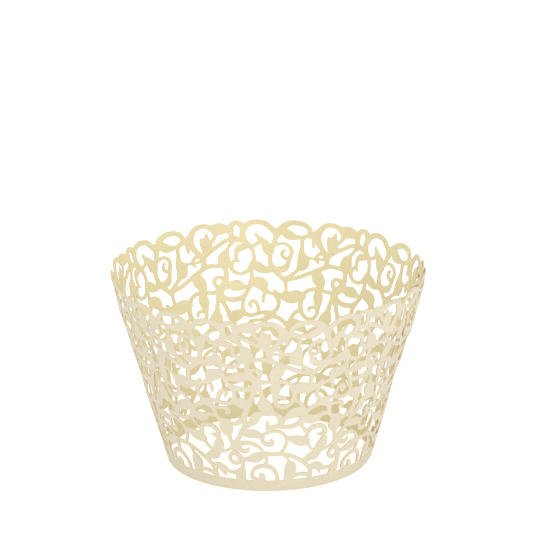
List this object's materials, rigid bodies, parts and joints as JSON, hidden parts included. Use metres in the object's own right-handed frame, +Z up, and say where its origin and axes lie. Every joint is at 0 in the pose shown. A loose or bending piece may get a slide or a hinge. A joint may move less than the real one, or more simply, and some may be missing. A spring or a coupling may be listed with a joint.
{
  "type": "cupcake wrapper",
  "caption": "Openwork paper cupcake wrapper: a rolled card cone cut into a vine scroll, with a scalloped rim and a plain band at the base.",
  "frame": {"origin": "middle of the base ring, on the surface the wrapper stands on", "axes": "+Z up along the cone's axis, -Y towards the viewer, with the card's lapped seam at +X"},
  "size_m": [0.0803, 0.0799, 0.05],
  "materials": {
    "pearl_card": "ivory card with a pearl coating and a soft sheen"
  },
  "bodies": {
    "root": {"wrapper": "pearl_card"}
  },
  "joints": []
}
